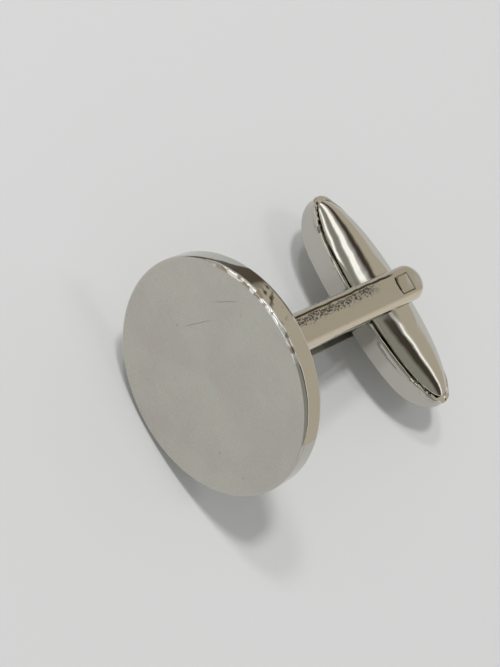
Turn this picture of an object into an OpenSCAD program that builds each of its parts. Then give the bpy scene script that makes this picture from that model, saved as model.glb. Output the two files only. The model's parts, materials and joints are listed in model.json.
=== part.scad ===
// Swivel-bar cufflink: a round head, a forked post and a torpedo toggle that
// turns on a squared pin between the fork's arms. Every shape is drawn with
// the head's front face on z = 0, the post along +z and the toggle along x.
// lie_down() then sets the finished link on the table, on the back edge of
// its head and the tip of its lower arm. Millimetres.

/* [Head] */
// Diameter of the round head
head_d = 17; // [12:0.5:24]
// Thickness of the head
head_t = 1.6; // [1:0.1:3]
// Bevel round the front face
face_bevel = 0.18; // [0.05:0.01:0.4]
// Rounding of the back edge
head_edge_r = 0.3; // [0.1:0.05:0.45]

/* [Post] */
// Width of the bent strip that makes the fork
strip_w = 2.8; // [2.4:0.1:3.6]
// Thickness of the strip
strip_t = 0.75; // [0.7:0.05:1]
// Rounding of the strip's outer edges
strip_edge_r = 0.6; // [0.2:0.05:0.65]
// Inner radius of the two bends beside the head
bend_r = 0.5; // [0.2:0.05:1.2]
// Height of the pivot above the back of the head
post_reach = 17.05; // [14:0.05:20]
// How far the arms run on past the pivot
tip_over = 2.25; // [1.9:0.05:3.5]
// How far the outer face of each arm swells at its round tip
tip_crown = 0.08; // [0.04:0.01:0.15]

/* [Braze] */
// Flat land on top of the braze, outside the strip
braze_land = 0.12; // [0.05:0.01:0.3]
// How far the concave foot of the braze spreads
braze_reach = 0.45; // [0.2:0.05:0.9]

/* [Toggle] */
// Length of the toggle from tip to tip
toggle_l = 18.2; // [15:0.2:22]
// Height of the toggle's flat core, from edge to edge at the middle
core_h = 5.28; // [4.8:0.02:6]
// Thickness of the flat core between the two cheeks
core_t = 2; // [1.8:0.1:2.6]
// Width of the toggle over its two flats
toggle_w = 4.7; // [4.2:0.1:5.2]
// How far the cheeks lie inside the core's edge, at the middle
cheek_inset = 0.32; // [0.15:0.02:0.5]
// Rounding of the core's front corners, at each end
front_round = 0.3; // [0.1:0.05:0.45]
// How far the core's back corners are rounded off, along the toggle
back_round_l = 2.2; // [1:0.1:3]
// How far the core's back corners are rounded off, through its thickness
back_round_t = 1.4; // [0.6:0.1:1.4]
// How much shorter the near cheek is than the core, at each end
cheek_short = 0.45; // [0.2:0.05:1]
// How far the middle of a cheek's oval section lies under its seam
cheek_sunk = 0.5; // [0.2:0.05:0.8]
// How much of each cheek's crown the flat takes off
crown_cut = 0.08; // [0.03:0.01:0.15]
// Width of the groove along the seam
seam_w = 0.15; // [0.05:0.05:0.3]
// Depth of the groove along the seam
seam_deep = 0.25; // [0.1:0.05:0.4]
// How full the toggle's taper is: higher is blunter
taper_power_share = 2.4; // [1.8:0.1:3.2]
// How far the pivot lies past the toggle's middle, which leaves room for the leaf
pivot_past = 0.65; // [0.3:0.05:0.8]
// Turn of the toggle from square to the post, in degrees, as it was left
toggle_turn = 3.5; // [-10:0.5:10]

/* [Pivot] */
// Diameter of the pin's journals
journal_d = 2.05; // [1.9:0.05:2.2]
// Radial clearance of the journals in the cheeks
journal_play = 0.05; // [0.02:0.01:0.1]
// Clearance between the toggle's flats and each arm
side_play = 0.1; // [0.05:0.01:0.2]
// Width of the pin's flattened ends, along the toggle
tenon_w = 1.4; // [1.1:0.05:1.45]
// How far inside the rod's surface the filed corners lie
file_margin = 0.03; // [0.01:0.01:0.06]
// Width of the thumbnail recess beside each pin end
nail_w = 0.2; // [0.1:0.05:0.35]
// Depth of that recess
nail_deep = 0.15; // [0.05:0.01:0.3]

/* [Detent] */
// Length of the leaf spring
spring_l = 8.8; // [6:0.2:10]
// Thickness of the leaf spring
spring_t = 0.2; // [0.1:0.01:0.3]
// How far the leaf bows towards the pin
spring_bow = 0.42; // [0.2:0.02:0.6]
// Clearance of the leaf from the turning corners of the pin
cam_play = 0.03; // [0.02:0.01:0.08]
// Room round the leaf and the pin inside the core
chamber_play = 0.1; // [0.05:0.01:0.15]

/* [Hidden] */
$fn = 72;
// Cuts run past the faces that they open by this much
overrun = 1;
// Steps along the toggle's taper, round its corners and up the braze's foot
taper_steps = 40;
round_steps = 6;
foot_steps = 5;

head_r = head_d / 2;
pivot_z = head_t + post_reach;
tip_z = pivot_z + tip_over;
tip_r = strip_w / 2;
crown_half = tip_r - strip_edge_r;
crown_r = (crown_half * crown_half + tip_crown * tip_crown) / (2 * tip_crown);
arm_in = toggle_w / 2 + side_play;
arm_out = arm_in + strip_t;
bend_z = head_t + strip_t + bend_r;

// Each cheek is cut from a long oval body at its seam plane: the body is as
// much larger than the seam's outline as its middle lies under that plane.
groove_y = core_t / 2 + seam_w;
near_half_l = toggle_l / 2 - cheek_short;
far_half_l = toggle_l / 2 - back_round_l;
cheek_half_h = core_h / 2 - cheek_inset;
dome_y = toggle_w / 2 - groove_y + cheek_sunk + crown_cut;
sunk_share = cheek_sunk / dome_y;
dome_z = cheek_half_h / sqrt(1 - sunk_share * sunk_share);
dome_length_share = pow(1 - sunk_share * sunk_share, 1 / taper_power_share);

// The pin is filed from one rod: a square between its journals turns on the
// leaf, and a flattened tenon at each end is held in the arm's window.
journal_r = journal_d / 2;
filed_r = journal_r - file_margin;
square_w = filed_r * sqrt(2);
tenon_h = sqrt(4 * filed_r * filed_r - tenon_w * tenon_w);
nail_r = (tenon_w * tenon_w / 4 + nail_w * nail_w) / (2 * nail_w);

// The leaf is an arc: close to the pin at its middle, its ends on the slot's far wall
leaf_low = filed_r + cam_play;
leaf_top = leaf_low + spring_bow + spring_t;
leaf_half = spring_l / 2;
leaf_r = (leaf_half * leaf_half + spring_bow * spring_bow) / (2 * spring_bow);

// Where it touches the table: the centres of the head's back edge rounding
// and of the lower arm's tip rounding, seen along x
head_touch_y = head_r - head_edge_r;
head_touch_z = head_t - head_edge_r;
tip_touch_y = arm_out - strip_edge_r;
tip_touch_z = tip_z - strip_edge_r;
touch_gap = norm([head_touch_y - tip_touch_y, tip_touch_z - head_touch_z]);
lean = atan2(head_touch_y - tip_touch_y, tip_touch_z - head_touch_z)
    + asin((head_edge_r - strip_edge_r) / touch_gap);
table_drop = cos(lean) * head_touch_y + sin(lean) * head_touch_z + head_edge_r;
front_y = -sin(lean) * (head_r - face_bevel);
back_y = sin(lean) * tip_touch_y + cos(lean) * tip_touch_z + strip_edge_r;

// Share of the full radius that is left at u, from -1 to 1 along the toggle
function swell_share(u) = sqrt(1 - pow(abs(u), taper_power_share));

// Half outline of a toggle of this half length and radius, tip to tip
function taper(half_l, r) = [
    for (i = [0:taper_steps])
        let (u = -cos(180 * i / taper_steps))
        [half_l * u, r * swell_share(u)]
];

// Sets the link down as it lies, over the middle of its own footprint
module lie_down() {
    translate([0, -(front_y + back_y) / 2, table_drop])
        rotate([-90 - lean, 0, 0])
            children();
}

// Moves a shape drawn about the pivot to the post, turned as the toggle is
module on_pivot() {
    translate([0, 0, pivot_z])
        rotate([0, -toggle_turn, 0])
            children();
}

// Section of the strip: y = 0 is its inner face, the outer edges are round
module strip_section() {
    translate([-strip_w / 2, 0])
        square([strip_w, strip_t - strip_edge_r]);
    translate([-strip_w / 2 + strip_edge_r, 0])
        square([strip_w - 2 * strip_edge_r, strip_t]);
    for (side = [-1, 1])
        translate([side * (strip_w / 2 - strip_edge_r), strip_t - strip_edge_r])
            intersection() {
                circle(r = strip_edge_r);
                translate([-strip_edge_r, strip_edge_r - strip_t])
                    square([2 * strip_edge_r, strip_t]);
            }
}

// One straight arm with its round, crowned tip, on the +y side
module arm() {
    translate([0, arm_in, bend_z])
        linear_extrude(tip_z - tip_r - bend_z)
            strip_section();
    translate([0, arm_in, tip_z - tip_r])
        rotate([-90, 0, 0])
            rotate_extrude() {
                intersection() {
                    strip_section();
                    square([strip_w, strip_t]);
                }
                intersection() {
                    translate([0, strip_t + tip_crown - crown_r])
                        circle(r = crown_r, $fn = 360);
                    translate([0, strip_t - strip_edge_r])
                        square([crown_half, strip_edge_r + tip_crown]);
                }
            }
}

// Quarter bend from the bridge into the +y arm
module bend() {
    translate([0, arm_in - bend_r, bend_z])
        rotate([0, 90, 0])
            rotate_extrude(angle = 90)
                translate([bend_r, 0])
                    rotate([0, 0, -90])
                        strip_section();
}

// The whole strip, bent into a U
module bent_strip() {
    translate([0, 0, head_t + strip_t])
        rotate([-90, 0, 0])
            linear_extrude(2 * (arm_in - bend_r), center = true)
                strip_section();
    for (side = [0, 1])
        mirror([0, side, 0]) {
            bend();
            arm();
        }
}

// Bar with the section of the pin's tenons and of the windows they fill
module tenon_bar() {
    cube([tenon_w, 2 * (arm_out + overrun), tenon_h], center = true);
}

// Thumbnail recess beside the tenon, towards the head, in the +y arm
module nail_recess() {
    translate([0, arm_out - nail_deep, 0])
        intersection() {
            translate([0, 0, nail_r - nail_w - tenon_h / 2])
                rotate([-90, 0, 0])
                    cylinder(r = nail_r, h = nail_deep + overrun);
            translate([-tenon_w / 2, 0, -nail_w - tenon_h / 2])
                cube([tenon_w, nail_deep + overrun, nail_w]);
        }
}

// Pad with a concave foot all round, over a rectangle of these half sizes
module foot_pad(half_x, half_y, h) {
    foot = [
        for (i = [0:foot_steps])
            let (a = 90 * i / foot_steps)
            [braze_land + braze_reach * (1 - sin(a)), h * (1 - cos(a))]
    ];
    side = [for (p = foot) [p[0] + half_x, p[1]]];
    far_side = [for (i = [foot_steps:-1:0]) [-side[i][0], side[i][1]]];
    end = [for (p = foot) [p[0] + half_y, p[1]]];
    far_end = [for (i = [foot_steps:-1:0]) [-end[i][0], end[i][1]]];
    rotate([90, 0, 0])
        linear_extrude(2 * half_y, center = true)
            polygon(concat(side, far_side));
    rotate([90, 0, 90])
        linear_extrude(2 * half_x, center = true)
            polygon(concat(end, far_end));
    for (x = [-half_x, half_x], y = [-half_y, half_y])
        translate([x, y, 0])
            rotate_extrude()
                polygon(concat(foot, [[0, h], [0, 0]]));
}

// Body of revolution with the toggle's taper, along x
module torpedo(half_l, r) {
    rotate([0, 90, 0])
        rotate_extrude()
            polygon([for (p = taper(half_l, r)) [p[1], p[0]]]);
}

// Flat plate with the toggle's outline, from y0 to y1, about the toggle's middle
module leaf_plate(half_l, half_h, y0, y1) {
    top = taper(half_l, half_h);
    translate([0, y1, -pivot_past])
        rotate([90, 0, 0])
            linear_extrude(y1 - y0)
                polygon(concat(top, [
                    for (i = [taper_steps - 1:-1:1]) [top[i][0], -top[i][1]]
                ]));
}

// Side outline of the core: small front corners, long round back ones
module core_side() {
    steps = [for (i = [0:round_steps]) 90 * i / round_steps];
    front = [
        for (a = steps)
            [toggle_l / 2 - front_round * (1 - sin(a)), -core_t / 2 + front_round * (1 - cos(a))]
    ];
    back = [
        for (a = steps)
            [toggle_l / 2 - back_round_l * (1 - cos(a)), core_t / 2 - back_round_t * (1 - sin(a))]
    ];
    right_end = concat(front, back);
    polygon(concat(right_end, [
        for (i = [len(right_end) - 1:-1:0]) [-right_end[i][0], right_end[i][1]]
    ]));
}

// One cheek of this half length, on the +y side: a plinth that leaves the groove
// along the seam, a domed shell of oval section and a bore for the journal
module cheek(half_l) {
    difference() {
        union() {
            leaf_plate(half_l - seam_deep, cheek_half_h - seam_deep, core_t / 2, groove_y);
            intersection() {
                translate([0, groove_y - cheek_sunk, -pivot_past])
                    scale([1, dome_y / dome_z, 1])
                        torpedo(half_l / dome_length_share, dome_z);
                translate([-toggle_l / 2, groove_y, -core_h])
                    cube([toggle_l, toggle_w / 2 - groove_y, 2 * core_h]);
            }
        }
        rotate([-90, 0, 0])
            cylinder(r = journal_r + journal_play, h = toggle_w);
    }
}

// Space of the leaf in the core, on the head's side of the pin, with this
// room at its ends and next to the pin
module leaf_slot(end_room, pin_room, width) {
    translate([-leaf_half - end_room, -width / 2, -leaf_top])
        cube([2 * (leaf_half + end_room), width, leaf_top - leaf_low + pin_room]);
}

module head_disc() {
    color("gainsboro")
        lie_down()
            rotate_extrude() {
                translate([head_r - head_edge_r, head_t - head_edge_r])
                    circle(r = head_edge_r);
                square([head_r - head_edge_r, head_t]);
                polygon([
                    [0, 0],
                    [head_r - face_bevel, 0],
                    [head_r, face_bevel],
                    [head_r, head_t - head_edge_r],
                    [0, head_t - head_edge_r]
                ]);
            }
}

module post_fork() {
    color("silver")
        lie_down()
            difference() {
                bent_strip();
                translate([0, 0, pivot_z]) {
                    tenon_bar();
                    for (side = [0, 1])
                        mirror([0, side, 0])
                            nail_recess();
                }
            }
}

module braze_fillet() {
    color("lightgray")
        lie_down()
            difference() {
                translate([0, 0, head_t])
                    foot_pad(strip_w / 2, arm_out, strip_t);
                bent_strip();
            }
}

module pivot_pin() {
    color("darkgray")
        lie_down() {
            intersection() {
                bent_strip();
                translate([0, 0, pivot_z])
                    tenon_bar();
            }
            translate([0, 0, pivot_z]) {
                cube([square_w, core_t, square_w], center = true);
                for (side = [0, 1])
                    mirror([0, side, 0])
                        translate([0, core_t / 2, 0])
                            rotate([-90, 0, 0])
                                cylinder(r = journal_r, h = arm_in - core_t / 2);
            }
        }
}

module toggle_core() {
    color("gainsboro")
        lie_down()
            on_pivot()
                difference() {
                    intersection() {
                        leaf_plate(toggle_l / 2, core_h / 2, -core_t / 2, core_t / 2);
                        translate([0, 0, -core_h])
                            linear_extrude(2 * core_h)
                                core_side();
                    }
                    rotate([90, 0, 0])
                        cylinder(r = journal_r + chamber_play, h = core_t + overrun, center = true);
                    leaf_slot(chamber_play, chamber_play, core_t + overrun);
                }
}

module cheek_near() {
    color("silver")
        lie_down()
            on_pivot()
                mirror([0, 1, 0])
                    cheek(near_half_l);
}

module cheek_far() {
    color("silver")
        lie_down()
            on_pivot()
                cheek(far_half_l);
}

module detent_spring() {
    color("slategray")
        lie_down()
            on_pivot()
                intersection() {
                    leaf_slot(0, 0, core_t - 2 * chamber_play);
                    translate([0, 0, -leaf_low - leaf_r])
                        rotate([90, 0, 0])
                            difference() {
                                cylinder(r = leaf_r, h = core_t, center = true, $fn = 360);
                                cylinder(r = leaf_r - spring_t, h = core_t + overrun,
                                         center = true, $fn = 360);
                            }
                }
}

head_disc();
post_fork();
braze_fillet();
pivot_pin();
toggle_core();
cheek_near();
cheek_far();
detent_spring();
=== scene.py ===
# %% [markdown]
# A swivel-bar cufflink, dressed around its engineering model.
#
# The engineering model gives the real sizes and what moves. This script adds what a
# camera sees: smooth plated metal, rounded edges, fine wear, and a studio to reflect.
# Mirror metal has hardly any colour of its own, so half of the work is in the studio.

# %% Load the frame
import json
import math
from functools import partial

import bmesh
import bpy
from mathutils import Matrix, Vector, noise


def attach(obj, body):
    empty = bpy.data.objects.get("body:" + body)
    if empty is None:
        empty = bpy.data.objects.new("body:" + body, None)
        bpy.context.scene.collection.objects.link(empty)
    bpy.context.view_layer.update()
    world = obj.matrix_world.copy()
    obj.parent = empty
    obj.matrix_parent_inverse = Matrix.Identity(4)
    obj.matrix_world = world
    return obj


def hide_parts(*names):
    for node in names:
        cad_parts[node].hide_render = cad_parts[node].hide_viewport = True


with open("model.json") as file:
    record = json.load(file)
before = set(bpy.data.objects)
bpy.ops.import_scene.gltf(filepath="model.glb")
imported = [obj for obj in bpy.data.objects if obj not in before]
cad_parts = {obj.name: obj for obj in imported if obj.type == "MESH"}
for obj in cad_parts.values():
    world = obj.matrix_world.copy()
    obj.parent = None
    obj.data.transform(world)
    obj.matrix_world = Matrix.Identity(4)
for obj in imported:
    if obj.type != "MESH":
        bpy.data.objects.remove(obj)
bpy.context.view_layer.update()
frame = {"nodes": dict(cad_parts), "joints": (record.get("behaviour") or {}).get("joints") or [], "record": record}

# %% [markdown]
# The link lies tilted on the table, but it is easier to draw it upright: head on z = 0,
# post along z, toggle along x, pin along y. The frame says where that drawing lies: the
# head's mount gives the post's direction and the hinge gives the pin's. One matrix then
# takes millimetres on the drawing to metres on the table.

# %% Set up the drawing's own axes
MM = 0.001
record = frame["record"]
hinge = frame["joints"][0]
head_mount = next(m for m in record["mounts"] if m["name"] == "head_face")
POST_DIR = -Vector(head_mount["axis"]).normalized()
PIN_DIR = -Vector(hinge["axis"]).normalized()
BAR_DIR = PIN_DIR.cross(POST_DIR)
FACE_CENTRE = Vector(head_mount["pos_m"])
PIVOT_Z = (Vector(hinge["pos_m"]) - FACE_CENTRE).dot(POST_DIR) / MM

TURN = Matrix((BAR_DIR, PIN_DIR, POST_DIR)).transposed().to_4x4()
DRAWING = Matrix.Translation(FACE_CENTRE) @ TURN @ Matrix.Scale(MM, 4)
print("the pivot is", round(PIVOT_Z, 3), "mm above the head's face")

# %% [markdown]
# The camera stands where the photograph was taken: a hand's length above the table,
# looking down at the head's face. Its focal length in pixels and its place on the
# drawing were found by matching the rim, the arms and the toggle.

# %% Make the camera
PHOTO_HEIGHT_PX = 667
FOCAL_PX = 1400
SENSOR_MM = 36
EYE_MM = (7.85, -70.7, -60.9)
LOOK_RIGHT = (0.4848, -0.5623, 0.6699)
LOOK_DOWN = (0.8691, 0.3955, -0.297)


def make_camera():
    lens = bpy.data.cameras.new("camera")
    lens.sensor_width = SENSOR_MM
    lens.lens = FOCAL_PX * SENSOR_MM / PHOTO_HEIGHT_PX
    lens.clip_start = 1 * MM
    made = bpy.data.objects.new("camera", lens)
    bpy.context.scene.collection.objects.link(made)
    bpy.context.scene.camera = made
    right = (TURN.to_3x3() @ Vector(LOOK_RIGHT)).normalized()
    down = (TURN.to_3x3() @ Vector(LOOK_DOWN)).normalized()
    ahead = right.cross(down)
    axes = Matrix((right, -down, -ahead)).transposed().to_4x4()
    made.matrix_world = Matrix.Translation(DRAWING @ Vector(EYE_MM)) @ axes
    return made


camera = make_camera()
print("camera at", tuple(round(c / MM, 1) for c in camera.matrix_world.translation), "mm")

# %% [markdown]
# Colours are given as sRGB hex, but Blender mixes light in linear values, so one function
# converts them. Another adds any shader node with its settings and links in one line,
# which keeps every material short enough to read. A node shows only the sockets that its
# mode uses, so values can simply be given in that order.

# %% Colour and node helpers
SMOOTH = {"interpolation_type": "SMOOTHSTEP"}
COLOURS = {"data_type": "RGBA"}


def linear(hex_colour, alpha=1.0):
    values = [int(hex_colour[i : i + 2], 16) / 255 for i in (1, 3, 5)]
    straight = [v / 12.92 if v <= 0.04045 else ((v + 0.055) / 1.055) ** 2.4 for v in values]
    return (*straight, alpha)


def add_node(tree, kind, *values, **settings):
    """Adds a node and returns its first output.

    Values fill the sockets in order. A setting with a capital letter is a socket's name,
    and any other is the node's own.
    """
    node = tree.nodes.new("ShaderNode" + kind)
    for name in filter(str.islower, settings):
        setattr(node, name, settings[name])
    shown = [socket for socket in node.inputs if socket.enabled]
    named = [(node.inputs[n], v) for n, v in settings.items() if not n.islower()]
    for socket, value in [*zip(shown, values), *named]:
        if isinstance(value, bpy.types.NodeSocket):
            tree.links.new(value, socket)
        else:
            socket.default_value = value
    return next(socket for socket in node.outputs if socket.enabled)


def band(tree, value, low, high, edge):
    """One between low and high, falling to nothing over the edge outside them."""
    rise = add_node(tree, "MapRange", value, low - edge, low, **SMOOTH)
    fall = add_node(tree, "MapRange", value, high, high + edge, 1.0, 0.0, **SMOOTH)
    return add_node(tree, "Math", rise, fall, operation="MULTIPLY")


print("linear value of a mid grey:", round(linear("#808080")[0], 4))

# %% [markdown]
# A polished plate shows the room, so the studio is part of its look. Small metal is shot
# on a pale board with long cards and strip lights round it, laid along the toggle. The
# board is a real plane, painted matt.

# %% Make the board
BOARD_M = 1.2
BOARD_EDGE_MM = 24
BOARD_EDGE_DIR = (0.575, 0.818, 0)
BOARD_COLOUR = "#D6D7D6"
BOARD_ROUGHNESS = 0.55


def make_board():
    out = Vector(BOARD_EDGE_DIR).normalized()
    along = Vector((-out.y, out.x, 0))
    edge, back = out * BOARD_EDGE_MM * MM, out * -BOARD_M
    bm = bmesh.new()
    corners = (edge - along * BOARD_M, edge + along * BOARD_M,
               back + along * BOARD_M, back - along * BOARD_M)
    bm.faces.new([bm.verts.new(c) for c in corners])
    mesh = bpy.data.meshes.new("board")
    bm.to_mesh(mesh)
    bm.free()
    made = bpy.data.objects.new("board", mesh)
    bpy.context.scene.collection.objects.link(made)
    material = bpy.data.materials.new("painted_board_matt")
    material.use_nodes = True
    shader = material.node_tree.nodes["Principled BSDF"]
    shader.inputs["Base Color"].default_value = linear(BOARD_COLOUR)
    shader.inputs["Roughness"].default_value = BOARD_ROUGHNESS
    mesh.materials.append(material)
    return made


board = make_board()
print("board of", round(board.dimensions.x, 2), "by", round(board.dimensions.y, 2), "m")

# %% [markdown]
# The cards and strips could be lit planes, but then they would light the floor as well.
# Here they are the world's colour by direction, and only reflections see them. Each is a
# band of angles about the toggle's long axis, from the table behind the link, over the
# top, to the front. A plain grey room would leave the metal flat, so the left half has two
# white window strips with a dark card beside them, and the right half has a thin strip
# and a wide dark card. The bands slant, as the edges of real cards do when they are seen
# at an angle.

# %% Make the room
TABLE = "#E0E0E0"
WALL = "#D0C8B8"
GREY = "#A0A098"
DARK = "#504840"
STRIP = "#FFFFFF"
STRIP_GAIN = 1.7
WHITE_FROM, WHITE_TO = 0.9, 0.99
CARD_FROM_DEG = -60
CARD_TO_DEG = 180
LEFT_SLANT_DEG = 70
LEFT_CENTRE = -0.25
LEFT_CARDS = [
    # first and last angle in degrees, and the card's tone
    (-60, 0, TABLE), (10, 40, WALL), (50, 60, DARK), (80, 100, STRIP),
    (110, 130, GREY), (140, 150, STRIP), (160, 180, WALL),
]
RIGHT_SLANT_DEG = -80
RIGHT_CENTRE = 0.2
RIGHT_CARDS = [
    (-60, -10, TABLE), (0, 50, WALL), (60, 65, STRIP), (75, 100, DARK), (120, 180, GREY),
]
MIDDLE = (-0.1, 0.1)
ROOM_LIGHT = "#B4B4B4"


def card_colours(tree, angle, across, slant, centre, cards):
    """The cards of one half of the room, as a colour ramp over the slanted angle."""
    span = CARD_TO_DEG - CARD_FROM_DEG
    add = partial(add_node, tree)
    turned = add("Math", across, -slant, slant * centre, operation="MULTIPLY_ADD")
    place = add("Math", angle, turned, operation="ADD")
    share = add("Math", place, 1 / span, -CARD_FROM_DEG / span, operation="MULTIPLY_ADD")
    colour = add("ValToRGB", share)
    ramp = colour.node.color_ramp
    edges = [(degrees, tone) for first, last, tone in cards for degrees in (first, last)]
    while len(ramp.elements) < len(edges):
        ramp.elements.new(1.0)
    for element, (degrees, tone) in zip(ramp.elements, edges):
        element.position = (degrees - CARD_FROM_DEG) / span
        element.color = linear(tone)
    return colour


def make_room():
    world = bpy.data.worlds.new("studio")
    world.use_nodes = True
    bpy.context.scene.world = world
    tree = world.node_tree
    add = partial(add_node, tree)
    direction = add("TexCoord")
    across, deep, up = add("SeparateXYZ", direction).node.outputs
    angle = add("Math", add("Math", up, deep, operation="ARCTAN2"), operation="DEGREES")
    left = card_colours(tree, angle, across, LEFT_SLANT_DEG, LEFT_CENTRE, LEFT_CARDS)
    right = card_colours(tree, angle, across, RIGHT_SLANT_DEG, RIGHT_CENTRE, RIGHT_CARDS)
    past_middle = add("MapRange", across, *MIDDLE, **SMOOTH)
    cards = add("Mix", past_middle, left, right, **COLOURS)

    # Only the white strips are brighter than paper, which their own whiteness sets
    mirrored = add("LightPath").node.outputs["Is Glossy Ray"]
    colour = add("Mix", mirrored, linear(ROOM_LIGHT), cards, **COLOURS)
    whiteness = add("RGBToBW", colour)
    strength = add("MapRange", whiteness, WHITE_FROM, WHITE_TO, 1.0, STRIP_GAIN, **SMOOTH)
    background = tree.nodes["Background"]
    tree.links.new(colour, background.inputs["Color"])
    tree.links.new(strength, background.inputs["Strength"])
    return world


room = make_room()
print(room.name, "of", len(LEFT_CARDS), "and", len(RIGHT_CARDS), "cards")

# %% [markdown]
# Three soft lamps give the shadows on the board. Two stand for one tall window to the
# left, so the shadow has a dark heart and a long soft tail. The third is the weak light
# from the other side, whose shadow is only just seen. A reflection doesn't see them,
# because the strips are already in the room.

# %% Light the table
LAMPS = [
    # name, turn and height in degrees, distance and side in metres, watts
    ("high window", 186, 75, 0.5, 0.05, 0.85),
    ("low window", 186, 61, 0.5, 0.05, 0.38),
    ("ceiling", 42, 68, 0.42, 0.07, 0.13),
]


def make_lamp(name, turn_deg, height_deg, away, side, watts):
    turn, height = math.radians(turn_deg), math.radians(height_deg)
    flat = Vector((math.cos(turn), math.sin(turn), 0)) * math.cos(height)
    place = away * (flat + Vector((0, 0, math.sin(height))))
    light = bpy.data.lights.new(name, "AREA")
    light.shape = "RECTANGLE"
    light.size = light.size_y = side
    light.energy = watts
    lamp = bpy.data.objects.new(name, light)
    bpy.context.scene.collection.objects.link(lamp)
    aim = (-place).to_track_quat("-Z", "Y").to_matrix().to_4x4()
    lamp.matrix_world = Matrix.Translation(place) @ aim
    lamp.visible_glossy = False


for lamp_facts in LAMPS:
    make_lamp(*lamp_facts)
print("lamps:", ", ".join(facts[0] for facts in LAMPS))

# %% [markdown]
# Every piece is drawn in millimetres and then laid on the table by the drawing's matrix.
# Mirror metal shows the smallest shading error, so three things happen to each piece:
# doubles are merged and normals made to point outwards, hard corners are marked sharp,
# and normals are weighted by face size so that flat faces stay optically flat.

# %% Helpers that finish a piece
SHARP_DEG = 32
WELD = 1e-4


def outward(bm):
    bmesh.ops.remove_doubles(bm, verts=bm.verts, dist=WELD)
    bmesh.ops.recalc_face_normals(bm, faces=bm.faces)
    return bm


def wobble(point, per_mm, depth):
    """A smooth random offset, for metal that was cast and polished by hand."""
    return depth * noise.noise(Vector(point) * per_mm)


def lay_down(bm, name, materials, body, place=None):
    """Turns a drawing in millimetres into a finished piece on the table."""
    outward(bm)
    bm.transform(DRAWING @ (place or Matrix.Identity(4)))
    for face in bm.faces:
        face.smooth = True
    mesh = bpy.data.meshes.new(name)
    bm.to_mesh(mesh)
    bm.free()
    for material in materials:
        mesh.materials.append(material)
    mesh.set_sharp_from_angle(angle=math.radians(SHARP_DEG))
    piece = bpy.data.objects.new(name, mesh)
    bpy.context.scene.collection.objects.link(piece)
    weigh = piece.modifiers.new("flat_faces_stay_flat", "WEIGHTED_NORMAL")
    weigh.keep_sharp = True
    weigh.weight = 100
    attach(piece, body)
    size = [round(d / MM, 2) for d in piece.dimensions]
    print(name, "has", len(mesh.polygons), "faces and measures", size, "mm")
    return piece


print("corners past", SHARP_DEG, "degrees are sharp")

# %% [markdown]
# A few drawing helpers work on any piece: points along an arc, a chain of edges through
# points, a sweep of edges along a straight line, a skin over rings of equal length, and
# an exact cut of one closed shape out of another.

# %% Helpers that draw
def everything(bm):
    return list(bm.verts) + list(bm.edges) + list(bm.faces)


def only(geom, kind):
    return [g for g in geom if isinstance(g, kind)]


def arc(centre, radii, start_deg, end_deg, steps):
    """Points along an ellipse's arc, in the two coordinates that the caller draws in."""
    for i in range(steps + 1):
        a = math.radians(start_deg + (end_deg - start_deg) * i / steps)
        yield centre[0] + radii[0] * math.cos(a), centre[1] + radii[1] * math.sin(a)


def chain(bm, points, closed=False):
    """Adds points joined by edges, and returns the vertices and the edges."""
    verts = [bm.verts.new(p) for p in points]
    ends = verts[1:] + verts[:1] if closed else verts[1:]
    return verts, [bm.edges.new(pair) for pair in zip(verts, ends)]


def sweep(bm, edges, offset):
    """Extrudes open edges along a straight offset and returns the new edges."""
    made = bmesh.ops.extrude_edge_only(bm, edges=edges)["geom"]
    verts = only(made, bmesh.types.BMVert)
    bmesh.ops.translate(bm, verts=verts, vec=offset)
    return [e for e in only(made, bmesh.types.BMEdge) if all(v in verts for v in e.verts)]


def skin(bm, rings):
    """Joins rings of equal length with quads and closes both ends."""
    loops = [chain(bm, ring, closed=True) for ring in rings]
    for (low, _), (high, _) in zip(loops, loops[1:]):
        for a, b, c, d in zip(low, low[1:] + low[:1], high[1:] + high[:1], high):
            bm.faces.new((a, b, c, d))
    bm.faces.new(loops[0][0])
    bm.faces.new(list(reversed(loops[-1][0])))


def closed_outline(upper):
    """Mirrors the points of an upper half in z, and returns them as one closed ring."""
    return upper + [(x, y, -z) for x, y, z in reversed(upper[1:-1])]


def cut_out(bm, cutter):
    """Cuts one closed shape out of another with an exact boolean."""
    things = []
    for name, shape in (("body", bm), ("tool", cutter)):
        mesh = bpy.data.meshes.new(name)
        outward(shape).to_mesh(mesh)
        shape.free()
        things.append(bpy.data.objects.new(name, mesh))
        bpy.context.scene.collection.objects.link(things[-1])
    cut = things[0].modifiers.new("cut", "BOOLEAN")
    cut.object = things[1]
    cut.solver = "EXACT"
    done = bmesh.new()
    done.from_object(things[0], bpy.context.evaluated_depsgraph_get())
    for thing in things:
        bpy.data.meshes.remove(thing.data)
    return done


halfway = list(arc((0, 0), (1, 1), 0, 90, 2))[1]
print("halfway round a quarter arc:", [round(c, 2) for c in halfway])

# %% [markdown]
# Every metal here starts as nickel or steel: fully metallic, a grey that is a little
# warm, and low roughness. One recipe adds what polishing leaves. Casting and a soft
# wheel leave a slow waviness, a few millimetres long. The wheel's grit leaves hairlines
# along the way it ran. Real ones are some 0.02 mm wide, too fine to show here, so they
# are drawn about five times as coarse. Handling leaves smudges that dull it in places.
# Lengths are millimetres on the drawing, whatever way the piece is turned.

# %% The metals
ALONG_BAR = (0.12, 1.0, 1.0)
ALONG_POST = (1.0, 1.0, 0.12)
NO_WAY = (1, 1, 1)
NICKEL = "#C4C1B9"


def drawing_mm(tree):
    """Turns a piece's own coordinates, in metres on the table, back to the drawing."""
    back = DRAWING.inverted()
    own = add_node(tree, "TexCoord").node.outputs["Object"]
    return add_node(
        tree, "Mapping", Vector=own, Location=back.to_translation(),
        Rotation=back.to_euler(), Scale=back.to_scale(),
    )


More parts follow.
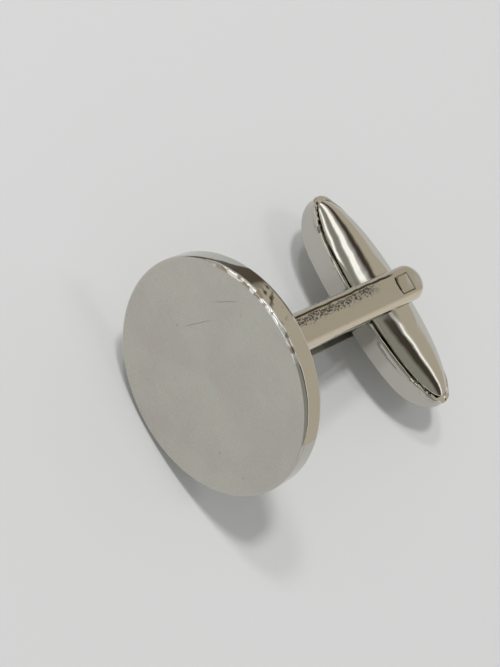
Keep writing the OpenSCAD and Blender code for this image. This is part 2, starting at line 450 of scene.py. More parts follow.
def metal(name, colour, roughness, smudge, waves, hairline, along):
    """waves and hairline are (bumps per mm, depth in mm); along stretches the hairlines."""
    material = bpy.data.materials.new(name)
    material.use_nodes = True
    tree = material.node_tree
    add = partial(add_node, tree)
    shader = tree.nodes["Principled BSDF"]
    shader.inputs["Base Color"].default_value = linear(colour)
    shader.inputs["Metallic"].default_value = 1.0
    mm = drawing_mm(tree)
    waviness = add("TexNoise", Vector=mm, Scale=waves[0], Detail=1.5)
    waviness = add("Bump", Height=waviness, Distance=waves[1] * MM)
    run = add("VectorMath", mm, along, operation="MULTIPLY")
    lines = add("TexNoise", Vector=run, Scale=hairline[0], Detail=3.0)
    lines = add("Bump", Height=lines, Distance=hairline[1] * MM, Normal=waviness)
    tree.links.new(lines, shader.inputs["Normal"])
    patches = add("TexNoise", Vector=mm, Scale=0.6, Detail=4.0, Roughness=0.6)
    rough = add("MapRange", patches, 0.4, 0.7, roughness, roughness + smudge, **SMOOTH)
    tree.links.new(rough, shader.inputs["Roughness"])
    return material


def dented(material, height, depth_mm):
    """Adds one more bump on top of those that a metal already has."""
    tree = material.node_tree
    normal = tree.nodes["Principled BSDF"].inputs["Normal"]
    under = normal.links[0].from_socket
    dents = add_node(tree, "Bump", Height=height, Distance=depth_mm * MM, Normal=under)
    tree.links.new(dents, normal)


# Polished nickel plate on the cheeks: long, slightly wavy mirror images
bar_nickel = metal(
    "nickel_plate_toggle", NICKEL, 0.035, 0.06, (0.55, 0.04), (9, 0.002), ALONG_BAR
)
# Plate where no wheel reaches: a dull, even grey
inner_nickel = metal(
    "nickel_plate_unpolished", "#B4B1A9", 0.3, 0.1, (0.8, 0.02), (10, 0.003), NO_WAY
)
# Filed steel pin: sharp, but less bright than the plate
pin_steel = metal(
    "filed_pin_steel", "#B9B5AB", 0.12, 0.1, (1.2, 0.01), (12, 0.002), NO_WAY
)
# Rolled spring steel: a darker grey with a soft shine
spring_steel = metal(
    "rolled_spring_steel", "#8E8B88", 0.25, 0.1, (0.5, 0.002), (12, 0.001), ALONG_BAR
)
# Braze that was plated over: lumpy and half dull
braze_alloy = metal(
    "braze_plated_over", "#BDB9AF", 0.22, 0.1, (1.5, 0.03), (10, 0.002), NO_WAY
)
print("metals:", ", ".join(material.name for material in bpy.data.materials))

# %% [markdown]
# The head's rim is polished plate. At one place a painted dark reflection starts as a thin
# line behind the bevel, widens across the rim, and runs on as a line along its back edge.
# The bevel beside it is uneven, so real dents break up its reflection, and its colour adds
# painted bright and dark glints of reflection. The painted dark reflection could be an image,
# but a few steps over the turn about the head's axis and the depth behind the face draw it
# just as well, and stay sharp at any size.

# %% Rim metal
# The painted dark reflection on the rim: where it lies, how it widens, and its colour
PAINTED_DARK_REFLECTION_DEG = (-159, -115)
PAINTED_DARK_REFLECTION_POWER = 3.0
PAINTED_DARK_REFLECTION_WIDE = 2.1
PAINTED_DARK_REFLECTION = "#41382F"
BACK_EDGE_REFLECTION_DEG = (-116, -95)
BACK_EDGE_REFLECTION_FROM_MM = 1.26
PATCHY_DEG = (-108, -92)
DASH_DEG = (-130, -80)
# Painted glints of reflection on the bevel: a dark colour and a bright one
PAINTED_GLINT_COLOURS = ("#AAA092", "#FFFFFF")
DASH_PER_MM = 1.25
BEVEL_BAND_MM = (0.12, 0.24)
RAGGED_DEG = 6
THIN_START_MM, THIN_END_MM = 0.06, 0.18
CLEAR_MM = (0.06, 0.11)
CLEAR_LATER_MM = 0.16
BACK_BAND_MM = (1.46, 1.56)
PAINTED_DARK_REFLECTION_SHARE = 0.92
LUMPS_DEPTH_MM = 0.12
DENTS_DEPTH_MM = 0.13


def make_rim_metal():
    # Polished plate: sharp, slightly wavy mirror images round the rim
    material = metal(
        "nickel_plate_rim", NICKEL, 0.08, 0.08, (0.5, 0.012), (14, 0.0006), NO_WAY
    )
    tree = material.node_tree
    add = partial(add_node, tree)
    mm = drawing_mm(tree)
    x, y, z = add("SeparateXYZ", mm).node.outputs
    turn = add("Math", add("Math", y, x, operation="ARCTAN2"), operation="DEGREES")
    turn = add("Math", turn, RAGGED_DEG / 2, operation="SUBTRACT")
    ragged = add("TexNoise", Vector=mm, Scale=1.4)
    turn = add("Math", ragged, RAGGED_DEG, turn, operation="MULTIPLY_ADD")

    # The painted dark reflection: as wide as a power of the way from its start, and clear of the bevel
    start, end = PAINTED_DARK_REFLECTION_DEG
    share = add("Math", turn, start, operation="SUBTRACT")
    share = add("Math", share, end - start, operation="DIVIDE")
    thin = add("MapRange", share, 0.0, 0.4, THIN_START_MM, THIN_END_MM, **SMOOTH)
    width = add("Math", share, 0, operation="MAXIMUM")
    width = add("Math", width, PAINTED_DARK_REFLECTION_POWER, operation="POWER")
    width = add("Math", width, PAINTED_DARK_REFLECTION_WIDE, thin, operation="MULTIPLY_ADD")
    past = add("Math", z, width, operation="SUBTRACT")
    dark_reflection = add("MapRange", past, -0.04, 0.04, 1.0, 0.0, **SMOOTH)
    dark_reflection = add("Math", dark_reflection, band(tree, share, 0.15, 1.0, 0.15), operation="MULTIPLY")
    later = add("MapRange", share, 0.3, 0.6, **SMOOTH)
    clear = [
        add("Math", later, CLEAR_LATER_MM, depth, operation="MULTIPLY_ADD")
        for depth in CLEAR_MM
    ]
    clear = add("MapRange", z, *clear, 0.0, 1.0, **SMOOTH)
    dark_reflection = add("Math", dark_reflection, clear, operation="MULTIPLY")
    # The painted dark reflection runs on as a band near the back edge
    back_edge_reflection = add("MapRange", z, BACK_EDGE_REFLECTION_FROM_MM, BACK_EDGE_REFLECTION_FROM_MM + 0.1, **SMOOTH)
    back_edge_reflection = add("Math", back_edge_reflection, band(tree, turn, *BACK_EDGE_REFLECTION_DEG, 4), operation="MULTIPLY")
    dark_reflection = add("Math", dark_reflection, back_edge_reflection, operation="MAXIMUM")
    not_back = add("MapRange", z, *BACK_BAND_MM, PAINTED_DARK_REFLECTION_SHARE, 0.0, **SMOOTH)
    dark_reflection = add("Math", dark_reflection, not_back, operation="MULTIPLY")
    # Paints the dark reflection over the plate's colour
    colour = add("Mix", dark_reflection, linear(NICKEL), linear(PAINTED_DARK_REFLECTION), **COLOURS)

    # Painted glints of reflection on the bevel, bright and dark
    bevel = add("MapRange", z, *BEVEL_BAND_MM, 1.0, 0.0, **SMOOTH)
    bevel = add("Math", bevel, band(tree, turn, *DASH_DEG, 8), operation="MULTIPLY")
    dashes = add("TexNoise", Vector=mm, Scale=DASH_PER_MM, Detail=1.5)
    dashes = add("MapRange", dashes, 0.46, 0.54, **SMOOTH)
    dashes = add("Mix", dashes, *map(linear, PAINTED_GLINT_COLOURS), **COLOURS)
    colour = add("Mix", bevel, colour, dashes, **COLOURS)
    tree.links.new(colour, tree.nodes["Principled BSDF"].inputs["Base Color"])

    patch = add("Math", band(tree, turn, *PATCHY_DEG, 6), not_back, operation="MULTIPLY")
    lumps = add("TexNoise", Vector=mm, Scale=1.2, Detail=1.0)
    dented(material, add("Math", lumps, patch, operation="MULTIPLY"), LUMPS_DEPTH_MM)
    dents = add("TexNoise", Vector=mm, Scale=1.3, Detail=0.0)
    dented(material, add("Math", dents, bevel, operation="MULTIPLY"), DENTS_DEPTH_MM)
    return material


rim_metal = make_rim_metal()
print(rim_metal.name, "has", len(rim_metal.node_tree.nodes), "nodes")

# %% [markdown]
# The face is the same plate, brushed to a satin. On the real link it is a little blotchy,
# greenish in some places and pinkish in others, with a few dark specks and two scratches.
# Each scratch is a line between two points of the drawing, so that it can be put where
# the eye expects it: a point's way along the line and its distance from it are two dot
# products.

# %% Face metal
BLOTCHES = ("#C6C4BA", "#C3BDB7")
BLOTCHES_PER_MM = 0.22
SPECK = "#5E5A54"
SPECKS_PER_MM = 0.42
SPECK_SHARE = 0.45
MARK_SHARE = 0.55
SCRATCHES_MM = [((-4.0, -4.1), (-2.9, -6.5)), ((-3.85, -0.5), (-3.0, -3.5))]
SCRATCH_HALF_MM, SCRATCH_EDGE_MM = 0.01, 0.025


def scratch_mask(tree, mm, start, end):
    """One on a thin line between two points of the face, fading at both ends."""
    start, end = Vector((*start, 0)), Vector((*end, 0))
    length = (end - start).length
    way = (end - start) / length
    side = Vector((-way.y, way.x, 0))
    offset = add_node(tree, "VectorMath", mm, start, operation="SUBTRACT")
    run, off = (
        add_node(tree, "VectorMath", offset, v, operation="DOT_PRODUCT") for v in (way, side)
    )
    along = band(tree, run, 0.25 * length, 0.6 * length, 0.4 * length)
    across = band(tree, off, -SCRATCH_HALF_MM, SCRATCH_HALF_MM, SCRATCH_EDGE_MM)
    return add_node(tree, "Math", along, across, operation="MULTIPLY")


def make_face_metal():
    # Brushed plate: a soft, even grey that shows only the brightest parts of the room
    material = metal(
        "nickel_plate_brushed", BLOTCHES[0], 0.24, 0.1, (0.12, 0.02), (9, 0.0012), NO_WAY
    )
    tree = material.node_tree
    add = partial(add_node, tree)
    mm = drawing_mm(tree)
    blotch = add("TexNoise", Vector=mm, Scale=BLOTCHES_PER_MM, Detail=3.0)
    blotch = add("MapRange", blotch, 0.35, 0.65, **SMOOTH)
    colour = add("Mix", blotch, *map(linear, BLOTCHES), **COLOURS)
    specks = add("TexVoronoi", Vector=mm, Scale=SPECKS_PER_MM)
    marks = add("MapRange", specks, 0.02, 0.07, SPECK_SHARE, 0.0, **SMOOTH)
    for start, end in SCRATCHES_MM:
        marks = add("Math", marks, scratch_mask(tree, mm, start, end), operation="MAXIMUM")
    marks = add("Math", marks, MARK_SHARE, operation="MULTIPLY")
    colour = add("Mix", marks, colour, linear(SPECK), **COLOURS)
    tree.links.new(colour, tree.nodes["Principled BSDF"].inputs["Base Color"])
    return material


face_metal = make_face_metal()
print(face_metal.name, "has", len(face_metal.node_tree.nodes), "nodes")

# %% [markdown]
# The head is a turned disc: a flat face, a small bevel in front and a softer edge behind.
# A cylinder with a bevel would do, but spinning its outline gives the rim as many steps
# as a mirror needs, and thin support rows beside each curve keep the flats flat. Then a
# smooth noise pushes the bevel in and out where the real one is uneven.

# %% Head
HEAD_R = 8.5
HEAD_T = 1.6
BEVEL = 0.26
BACK_EDGE_R = 0.3
RIM_STEPS = 360
SUPPORT = 0.03
UNEVEN_FROM_DEG, UNEVEN_TO_DEG = 226, 286
UNEVEN_PER_MM, UNEVEN_DEPTH = 1.1, 0.09


def make_head():
    bm = bmesh.new()
    outline = [(0, 0), (HEAD_R - BEVEL - SUPPORT, 0)]
    outline += arc((HEAD_R - BEVEL, BEVEL), (BEVEL, BEVEL), -90, 0, 8)
    outline += [(HEAD_R, BEVEL + SUPPORT), (HEAD_R, HEAD_T - BACK_EDGE_R - SUPPORT)]
    corner = (HEAD_R - BACK_EDGE_R, HEAD_T - BACK_EDGE_R)
    outline += arc(corner, (BACK_EDGE_R, BACK_EDGE_R), 0, 90, 8)
    outline += [(HEAD_R - BACK_EDGE_R - SUPPORT, HEAD_T), (0, HEAD_T)]
    verts, edges = chain(bm, [(r, 0, z) for r, z in outline])
    bmesh.ops.spin(
        bm, geom=verts + edges, cent=(0, 0, 0), axis=(0, 0, 1),
        angle=2 * math.pi, steps=RIM_STEPS, use_merge=True,
    )
    middle = (UNEVEN_FROM_DEG + UNEVEN_TO_DEG) / 2
    half = (UNEVEN_TO_DEG - UNEVEN_FROM_DEG) / 2
    for v in bm.verts:
        turn = math.degrees(math.atan2(v.co.y, v.co.x)) % 360
        near = max(0, 1 - ((turn - middle) / half) ** 2)
        if near and v.co.xy.length > HEAD_R - BEVEL - SUPPORT / 2 and v.co.z < 2 * BEVEL:
            v.co.xy *= 1 + wobble(v.co, UNEVEN_PER_MM, UNEVEN_DEPTH * near) / HEAD_R
    for face in bm.faces:
        at = face.calc_center_median()
        face.material_index = int(at.z < WELD and at.xy.length < HEAD_R - BEVEL)
    return lay_down(bm, "head", [rim_metal, face_metal], "post")


head = make_head()
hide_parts("head_disc")

# %% [markdown]
# The fork's outer faces were polished along the strip. The near arm has a cast flaw: a
# row of pits down its middle. A dark line near one edge is a painted dark reflection, and
# the rounded edge on the other side is painted paler, a painted highlight.
# The pits are small pieces of a rough noise that rise above a threshold, and they are
# both dark and sunk, because a pit is seen by its shadow. Real pits go down to 0.05 mm,
# but these are drawn about 0.2 mm wide, so that they show.

# %% Post metal
STRIP_W = 2.8
STRIP_T = 0.75
ARM_IN = 2.45
ARM_OUT = ARM_IN + STRIP_T
PIT_Z_MM = (6.5, 14.5)
# The dark line on the outer face, along it and across it: a painted dark reflection
LINE_Z_MM = (4, 17.4)
LINE_X = -0.98
# Painted shade in the pits, and the colour of the painted dark reflection line
PIT_SHADE_AND_LINE_REFLECTION = "#443B30"
PITS_PER_MM = 5.6
PIT_SHARE = 0.85
PIT_DEPTH_MM = 0.05
LINE_HALF_MM = 0.05
WANDER_MM = 0.2
# The plate's own tone, and a paler one for the painted highlight on one rounded edge
ARM_AND_PAINTED_HIGHLIGHT_COLOURS = ("#BDB9AF", "#E2DED6")


def make_post_metal():
    # Polished plate: the toggle's mirror, softened a little along the strip
    material = metal(
        "nickel_plate_post", NICKEL, 0.09, 0.08, (0.5, 0.03), (5, 0.004), ALONG_POST
    )
    tree = material.node_tree
    add = partial(add_node, tree)
    mm = drawing_mm(tree)
    x, y, z = add("SeparateXYZ", mm).node.outputs
    outer = add("MapRange", y, 0.5 - ARM_OUT, 0.3 - ARM_OUT, **SMOOTH)
    wander = add("TexNoise", Vector=mm, Scale=0.8)
    wander = add("Math", wander, WANDER_MM, -WANDER_MM / 2, operation="MULTIPLY_ADD")
    across = add("Math", x, wander, operation="ADD")

    rise = add("MapRange", across, -0.94, -0.8, **SMOOTH)
    fall = add("MapRange", across, -0.5, 0.15, 1.0, 0.0, **SMOOTH)
    crowd = add("Math", rise, fall, operation="MULTIPLY")
    run = add("VectorMath", mm, (1, 1, 0.7), operation="MULTIPLY")
    grain = add("TexNoise", Vector=run, Scale=PITS_PER_MM, Detail=4.0, Roughness=0.7)
    grain = add("Math", crowd, 0.2, grain, operation="MULTIPLY_ADD")
    pits = add("MapRange", grain, 0.66, 0.72, **SMOOTH)
    pitted = add("Math", outer, band(tree, z, *PIT_Z_MM, 1.8), operation="MULTIPLY")
    pits = add("Math", pits, pitted, operation="MULTIPLY")

    # A painted dark reflection: a thin dark line near one rounded edge of the outer face
    line = band(tree, across, LINE_X - LINE_HALF_MM, LINE_X + LINE_HALF_MM, 0.06)
    lined = add("Math", outer, band(tree, z, *LINE_Z_MM, 0.8), operation="MULTIPLY")
    line = add("Math", line, lined, operation="MULTIPLY")
    # Painted shade in the pits, joined with the painted dark reflection line
    dark = add("Math", pits, PIT_SHARE, operation="MULTIPLY")
    dark = add("Math", dark, line, operation="MAXIMUM")

    # A painted highlight: the outer face turns paler over its rounded edge towards x = 1
    edge = add("MapRange", x, 0.8, 1.1, **SMOOTH)
    edge = add("Math", outer, edge, operation="MULTIPLY")
    colour = add("Mix", edge, *map(linear, ARM_AND_PAINTED_HIGHLIGHT_COLOURS), **COLOURS)
    colour = add("Mix", dark, colour, linear(PIT_SHADE_AND_LINE_REFLECTION), **COLOURS)
    tree.links.new(colour, tree.nodes["Principled BSDF"].inputs["Base Color"])
    dented(material, add("Math", pits, -1.0, operation="MULTIPLY"), PIT_DEPTH_MM)
    return material


post_metal = make_post_metal()
print(post_metal.name, "has", len(post_metal.node_tree.nodes), "nodes")

# %% [markdown]
# The fork is one strip of metal bent to a U, with arms that end in a half circle. It
# could be modelled as blocks with bevels, but then its section would change in the bends.
# Instead half of the strip is made the way a smith makes it: its section is swept along
# the base, spun round the bend, swept up the arm, and half of it is spun round the tip.
# A window for the pin's end is cut in the arm's outer face, with a thumbnail-shaped
# notch on the head's side. The other arm is a mirror image.

# %% The strip's section and the window's outline
STRIP_EDGE = 0.6
INNER_EDGE = 0.05
BEND_R = 0.5
FLAT_HALF = STRIP_W / 2 - STRIP_EDGE - SUPPORT
CROWN_STEPS = 5
ARM_CROWN = 0.03
TIP_OVER = 2.25
TIP_CENTRE_Z = PIVOT_Z + TIP_OVER - STRIP_W / 2
BEND_Z = HEAD_T + STRIP_T + BEND_R
TENON_W = 1.4
TENON_H = 1.41
NAIL_W = 0.22
NAIL_DEEP = 0.2
WINDOW_EDGE = 0.05


def half_section():
    """Half of the strip's section, x >= 0: (x, depth), from the inner face outwards."""
    w = STRIP_W / 2
    points = [(0, 0), (w - INNER_EDGE - SUPPORT, 0)]
    points += arc((w - INNER_EDGE, INNER_EDGE), (INNER_EDGE, INNER_EDGE), -90, 0, 4)
    points += arc((w - STRIP_EDGE, STRIP_T - STRIP_EDGE), (STRIP_EDGE, STRIP_EDGE), 0, 90, 14)
    points += [(FLAT_HALF * (1 - i / CROWN_STEPS), STRIP_T) for i in range(CROWN_STEPS + 1)]
    return points


def window(grow):
    """The pin's window in the arm: a rectangle with a thumbnail arc on the head's side."""
    w, h = TENON_W / 2 + grow, TENON_H / 2 + grow
    r = (w * w + NAIL_W * NAIL_W) / (2 * NAIL_W)
    half = math.degrees(math.asin(w / r))
    low = arc((0, PIVOT_Z - h + r - NAIL_W), (r, r), -90 - half, -90 + half, 12)
    return [*low, (w, PIVOT_Z + h), (-w, PIVOT_Z + h)]


print("the window has", len(window(0)), "corners, and half the section", len(half_section()))


# %% Fork
def on_outer_face(thing):
    points = [v.co for v in thing.verts]
    return all(abs(p.y - ARM_OUT) < WELD and abs(p.x) < FLAT_HALF + WELD for p in points)


def open_window(bm):
    """Cuts the window's recess into the near arm's outer face, which is flat till now."""
    flat = [
        f for f in bm.faces
        if on_outer_face(f) and BEND_Z < f.calc_center_median().z < TIP_CENTRE_Z
    ]
    bmesh.ops.delete(bm, geom=flat, context="FACES")
    border = [
        e for e in bm.edges
        if e.is_boundary and on_outer_face(e) and all(v.co.z > BEND_Z - WELD for v in e.verts)
    ]
    rims = []
    for grow, sunk in ((WINDOW_EDGE, 0), (0, WINDOW_EDGE), (0, NAIL_DEEP)):
        points = [(x, ARM_OUT - sunk, z) for x, z in window(grow)]
        rims.append(chain(bm, points, closed=True))
    bmesh.ops.triangle_fill(bm, edges=border + rims[0][1], use_beauty=True)
    for low, high in zip(rims, rims[1:]):
        bmesh.ops.bridge_loops(bm, edges=low[1] + high[1])
    bm.faces.new(rims[-1][0])


def crown_outer_face(bm):
    """Rounds the outer face a little across, as polishing does, by lifting its middle."""
    for i in range(1, 2 * CROWN_STEPS):
        x = FLAT_HALF * (i / CROWN_STEPS - 1)
        faces = [
            f for f in bm.faces
            if on_outer_face(f) and f.calc_center_median().z < TIP_CENTRE_Z
        ]
        around = {e for f in faces for e in f.edges} | {v for f in faces for v in f.verts}
        geom = faces + list(around)
        bmesh.ops.bisect_plane(bm, geom=geom, plane_co=(x, 0, 0), plane_no=(1, 0, 0))
    for v in bm.verts:
        if abs(v.co.y - ARM_OUT) < WELD and v.co.z > BEND_Z - WELD:
            off = math.hypot(v.co.x, max(0, v.co.z - TIP_CENTRE_Z)) / FLAT_HALF
            v.co.y += ARM_CROWN * max(0, 1 - off * off)


def make_fork():
    bm = bmesh.new()
    half = half_section()
    ring = half + [(-x, d) for x, d in reversed(half[1:-1])]
    edges = chain(bm, [(x, 0, HEAD_T + STRIP_T - d) for x, d in ring], closed=True)[1]
    edges = sweep(bm, edges, (0, ARM_IN - BEND_R, 0))
    bend = bmesh.ops.spin(
        bm, geom=list({v for e in edges for v in e.verts}) + edges,
        cent=(0, ARM_IN - BEND_R, BEND_Z), axis=(1, 0, 0), angle=math.pi / 2, steps=16,
    )["geom_last"]
    sweep(bm, only(bend, bmesh.types.BMEdge), (0, 0, TIP_CENTRE_Z - BEND_Z))
    tip = chain(bm, [(x, ARM_IN + d, TIP_CENTRE_Z) for x, d in half])
    bmesh.ops.spin(
        bm, geom=tip[0] + tip[1], cent=(0, 0, TIP_CENTRE_Z), axis=(0, -1, 0),
        angle=math.pi, steps=48,
    )
    bmesh.ops.remove_doubles(bm, verts=bm.verts, dist=WELD)
    open_window(bm)
    crown_outer_face(bm)
    far_arm = bmesh.ops.duplicate(bm, geom=everything(bm))["geom"]
    bmesh.ops.scale(bm, vec=(1, -1, 1), verts=only(far_arm, bmesh.types.BMVert))
    for face in bm.faces:
        face.material_index = int(abs(face.calc_center_median().y) < ARM_IN + INNER_EDGE)
    return lay_down(bm, "fork", [post_metal, inner_nickel], "post")


fork = make_fork()
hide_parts("post_fork")

# %% [markdown]
# The fork's base was brazed to the back of the head, so a little metal ran out round it
# and set as a hollow fillet. A bevel in the corner would need both parts as one mesh.
# Here the fillet is a shape of its own: rings with round corners that get smaller on a
# quarter circle as they climb the base.

# %% Braze
BRAZE_LAND = 0.12
BRAZE_REACH = 0.45
BRAZE_STEPS = 12


def braze_ring(spread, z):
    points = []
    for sx, sy, start in ((1, 1, 0), (-1, 1, 90), (-1, -1, 180), (1, -1, 270)):
        corner = (sx * STRIP_W / 2, sy * ARM_OUT)
        points += [(x, y, z) for x, y in arc(corner, (spread, spread), start, start + 90, 8)]
    return points


def make_braze():
    bm = bmesh.new()
    steps = [math.pi / 2 * i / BRAZE_STEPS for i in range(BRAZE_STEPS + 1)]
    skin(bm, [
        braze_ring(
            BRAZE_LAND + BRAZE_REACH * (1 - math.sin(a)),
            HEAD_T + STRIP_T * (1 - math.cos(a)),
        )
        for a in steps
    ])
    return lay_down(bm, "braze", [braze_alloy], "post")


braze = make_braze()
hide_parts("braze_fillet")

# %% [markdown]
# The pin holds the toggle between the arms. It is round where it passes through the
# cheeks, and square in the middle, where the spring's leaf presses on it and makes the
# toggle snap at each quarter turn. Its squared ends sit in the arms' windows, where only
# a hair-thin gap shows them.

# %% Pin
JOURNAL_R = 1.025
CORE_T = 2.0
PIN_SQUARE = 1.407
PIN_EDGE = 0.09
PIN_SHY = 0.02
PIN_DOME = 0.05
PIN_END_FLAT = 0.45


def make_pin():
    bm = bmesh.new()
    w, h = TENON_W / 2 - PIN_SHY, TENON_H / 2 - PIN_SHY
    profile = (
        (0, ARM_IN), (0, ARM_OUT - PIN_EDGE), (PIN_EDGE * 0.3, ARM_OUT - PIN_EDGE * 0.3),
        (PIN_EDGE, ARM_OUT), (PIN_END_FLAT, ARM_OUT + PIN_DOME),
    )
    for side in (-1, 1):
        skin(bm, [
            [
                (sx * (w - shy), side * y, PIVOT_Z + sz * (h - shy))
                for sx, sz in ((1, 1), (-1, 1), (-1, -1), (1, -1))
            ]
            for shy, y in profile
        ])
        bmesh.ops.create_cone(
            bm, cap_ends=True, segments=64, radius1=JOURNAL_R, radius2=JOURNAL_R,
            depth=ARM_IN - CORE_T / 2,
            matrix=Matrix.Translation((0, side * (ARM_IN + CORE_T / 2) / 2, PIVOT_Z))
            @ Matrix.Rotation(math.pi / 2, 4, "X"),
        )
    block = Matrix.Diagonal((PIN_SQUARE, CORE_T, PIN_SQUARE, 1))
    bmesh.ops.create_cube(bm, size=1, matrix=Matrix.Translation((0, 0, PIVOT_Z)) @ block)
    return lay_down(bm, "pin", [pin_steel], "post")


pin = make_pin()
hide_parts("pivot_pin")

# %% [markdown]
# The toggle is a sandwich: a flat core plate between two domed cheeks. All three follow
# one long oval, blunter than an ellipse, so they share one formula for how wide the oval
# is at any place along it. It is drawn about the toggle's own middle, and then turned
# and moved to the pin.

# %% Toggle sizes
TOGGLE_L = 18.2
TOGGLE_W = 4.7
CORE_H = 5.28
TAPER_POWER = 2.4
TAPER_STEPS = 96
PIVOT_PAST = 0.65
TOGGLE_TURN_DEG = 3.5
TOGGLE_PLACE = (
    Matrix.Translation((0, 0, PIVOT_Z))
    @ Matrix.Rotation(math.radians(-TOGGLE_TURN_DEG), 4, "Y")
    @ Matrix.Translation((0, 0, -PIVOT_PAST))
)


def swell(u):
    """The oval's share of its full width at u, from -1 to 1 along it."""
    return math.sqrt(max(0.0, 1 - abs(u) ** TAPER_POWER))


def bore_tool(radius):
    """A cylinder along the pin, longer than the toggle is thick."""
    tool = bmesh.new()
    bmesh.ops.create_cone(
        tool, cap_ends=True, segments=96, radius1=radius, radius2=radius, depth=2 * TOGGLE_W,
        matrix=Matrix.Translation((0, 0, PIVOT_PAST)) @ Matrix.Rotation(math.pi / 2, 4, "X"),
    )
    return tool


print("the oval is", round(CORE_H * swell(0.5), 2), "mm wide halfway to its tip")

# %% [markdown]
# The core plate stands proud of the cheeks all round. In front it ends in a small edge
# that the wheel never reached evenly, with beads of plating near both tips. Behind, its
# ends curve round to the shorter far cheek. Its outline is made ring by ring, because
# both the length and the rounding of the ends change with the depth. A round chamber
# through it holds the pin and the spring.

# %% Toggle core
FRONT_SHORT = 0.3
CORE_EDGE = 0.17
BACK_SHORT = 2.2
BACK_ROUND_T = 1.4
BACK_CAP_SHARE = 0.45
FRONT_STEPS = 6
BACK_STEPS = 20
CHAMBER_R = 1.125
EDGE_WOBBLE_PER_MM, EDGE_WOBBLE = 1.1, 0.05
TIP_FROM = 0.72
TIP_GAIN = 5
BEAD_FROM_X = 6.2
BEAD_DEPTH = 0.4


def make_core_metal():
    # Polished plate with drops of it left along the front edge: they glint like beads
    material = metal(
        "nickel_plate_core", NICKEL, 0.04, 0.06, (0.55, 0.03), (9, 0.002), ALONG_BAR
    )
    tree = material.node_tree
    add = partial(add_node, tree)
    mm = drawing_mm(tree)
    x, y, z = add("SeparateXYZ", mm).node.outputs
    tips = add("Math", x, operation="ABSOLUTE")
    tips = add("MapRange", tips, BEAD_FROM_X, BEAD_FROM_X + 0.8, **SMOOTH)
    edge = add("MapRange", y, 0.45 - CORE_T / 2, 0.15 - CORE_T / 2, **SMOOTH)
    beaded = add("Math", tips, edge, operation="MULTIPLY")
    beads = add("TexNoise", Vector=mm, Scale=1.3, Detail=1.0)
    dented(material, add("Math", beads, beaded, operation="MULTIPLY"), BEAD_DEPTH)
    return material


def core_ring(y, shorter, lower):
    """The core's outline at one depth: the oval with its ends rounded shorter."""
    full, reach = TOGGLE_L / 2, TOGGLE_L / 2 - shorter
    front = EDGE_WOBBLE * max(0, 1 - (y + CORE_T / 2) / CORE_EDGE)
    cap = max(BACK_CAP_SHARE * shorter, WELD)
    upper = []
    for i in range(TAPER_STEPS + 1):
        x = -reach * math.cos(math.pi * i / TAPER_STEPS)
        into = max(0.0, (abs(x) - (reach - cap)) / cap)
        z = (CORE_H / 2 - lower) * swell(x / full) * math.sqrt(max(0.0, 1 - into * into))
        upper.append((x, y, z))
    ring = []
    for x, y, z in closed_outline(upper):
        at_tip = 1 + TIP_GAIN * max(0, abs(x) / full - TIP_FROM)
        uneven = wobble((x, 0, z), EDGE_WOBBLE_PER_MM, front * at_tip)
        ring.append((x, y, z * (1 + uneven)))
    return ring


def make_core():
    bm = bmesh.new()
    t = CORE_T / 2
    front = [
        core_ring(-t + CORE_EDGE * (1 - math.cos(a)), FRONT_SHORT * (1 - math.sin(a)),
                  CORE_EDGE * (1 - math.sin(a)))
        for a in [math.pi / 2 * i / FRONT_STEPS for i in range(FRONT_STEPS + 1)]
    ]
    back = [
        core_ring(t - BACK_ROUND_T * (1 - math.sin(a)), BACK_SHORT * (1 - math.cos(a)), 0)
        for a in [math.pi / 2 * i / BACK_STEPS for i in range(1, BACK_STEPS + 1)]
    ]
    skin(bm, front + back)
    bm = cut_out(bm, bore_tool(CHAMBER_R))
    metals = [make_core_metal()]
    return lay_down(bm, "toggle_plate", metals, "toggle", TOGGLE_PLACE)


core = make_core()
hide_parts("toggle_core")

# %% [markdown]
# Each cheek is the cap of a long oval body, cut off just before its top so that a narrow
# flat is left where the arm slides. A narrow groove sets it off from the core: in it the
# cheek stands on a plinth. Rings again make the shape, each one the body's outline a
# little further up the dome, because on a mirror every uneven step would show. The first
# rings wander slightly, so the seam isn't a ruled line.

# %% Cheeks
CHEEK_INSET = 0.32
CHEEK_SHORT = 0.45
CHEEK_SUNK = 0.5
CHEEK_HALF_H = CORE_H / 2 - CHEEK_INSET
CROWN_CUT = 0.08
SEAM_W = 0.11
SEAM_DEEP = 0.25
SEAM_EDGE = 0.05
SEAM_INSET = 0.3 * SEAM_EDGE
SEAM_WOBBLE_PER_MM = 0.8
GROOVE_Y = CORE_T / 2 + SEAM_W
DOME_Y = TOGGLE_W / 2 - GROOVE_Y + CHEEK_SUNK + CROWN_CUT
DOME_STEPS = 56
SUNK_SHARE = CHEEK_SUNK / DOME_Y
BORE_R = 1.075


def plinth_ring(half_l, y):
    upper = []
    for i in range(TAPER_STEPS + 1):
        u = -math.cos(math.pi * i / TAPER_STEPS)
        upper.append(((half_l - SEAM_DEEP) * u, y, (CHEEK_HALF_H - SEAM_DEEP) * swell(u)))
    return closed_outline(upper)


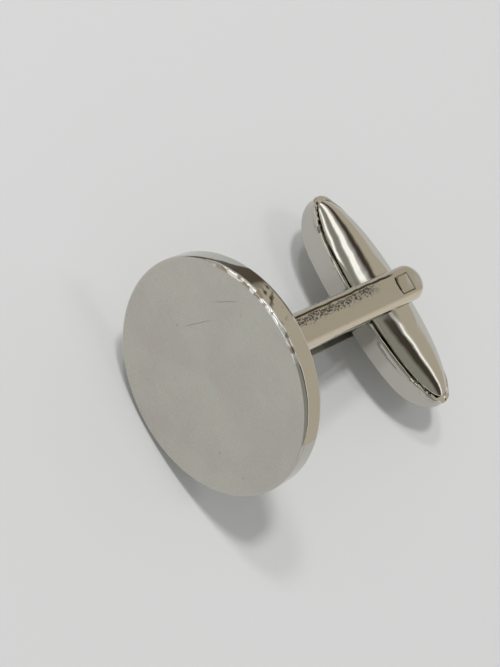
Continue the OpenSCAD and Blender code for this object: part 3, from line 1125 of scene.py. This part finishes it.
def dome_ring(half_l, turn, inset=0.0):
    """The domed body's outline where it is turned this far up from its widest section."""
    seam_cos = math.sqrt(1 - SUNK_SHARE * SUNK_SHARE)
    dome_z = CHEEK_HALF_H / seam_cos
    dome_l = half_l / seam_cos ** (2 / TAPER_POWER)
    reach = dome_l * math.cos(turn) ** (2 / TAPER_POWER) - inset
    y = GROOVE_Y - CHEEK_SUNK + DOME_Y * math.sin(turn)
    upper = []
    for i in range(TAPER_STEPS + 1):
        x = -reach * math.cos(math.pi * i / TAPER_STEPS)
        z = dome_z * math.sqrt(max(0.0, swell(x / dome_l) ** 2 - math.sin(turn) ** 2))
        upper.append((x, y, z * (1 - inset / CHEEK_HALF_H)))
    return closed_outline(upper)


def make_cheek(name, half_l, side):
    bm = bmesh.new()
    seam = math.asin(SUNK_SHARE)
    flat = math.asin(1 - CROWN_CUT / DOME_Y)
    rings = [plinth_ring(half_l, CORE_T / 2), plinth_ring(half_l, GROOVE_Y)]
    rings.append(dome_ring(half_l, seam, SEAM_EDGE))
    for i in range(DOME_STEPS + 1):
        inset = SEAM_INSET if i == 0 else 0
        rings.append(dome_ring(half_l, seam + (flat - seam) * i / DOME_STEPS, inset))
    for i in (2, 3, 4):
        lift = (i - 2) * SEAM_EDGE / 2
        rings[i] = [
            (x, y + lift + wobble((x, 1, z), SEAM_WOBBLE_PER_MM, SEAM_EDGE), z)
            for x, y, z in rings[i]
        ]
    skin(bm, rings)
    bm = cut_out(bm, bore_tool(BORE_R))
    bmesh.ops.scale(bm, vec=(1, side, 1), verts=bm.verts)
    return lay_down(bm, name, [bar_nickel], "toggle", TOGGLE_PLACE)


near = make_cheek("near_cheek", TOGGLE_L / 2 - CHEEK_SHORT, -1)
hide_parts("cheek_near")
far = make_cheek("far_cheek", TOGGLE_L / 2 - BACK_SHORT, 1)
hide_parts("cheek_far")

# %% [markdown]
# The spring is a leaf inside the core, which presses on the pin's square. The engineering
# model already has its shape, bent edges and all, so it keeps that mesh and only gets the
# colour of spring steel.

# %% Spring
spring = frame["nodes"]["detent_spring"]
for s in spring.material_slots:
    s.material = spring_steel
print("the spring shows", ", ".join(s.material.name for s in spring.material_slots))

# %% [markdown]
# The render uses plain sRGB colours, so the Standard view keeps every hex value as it was
# written.

# %% Finish
bpy.context.scene.view_settings.view_transform = "Standard"
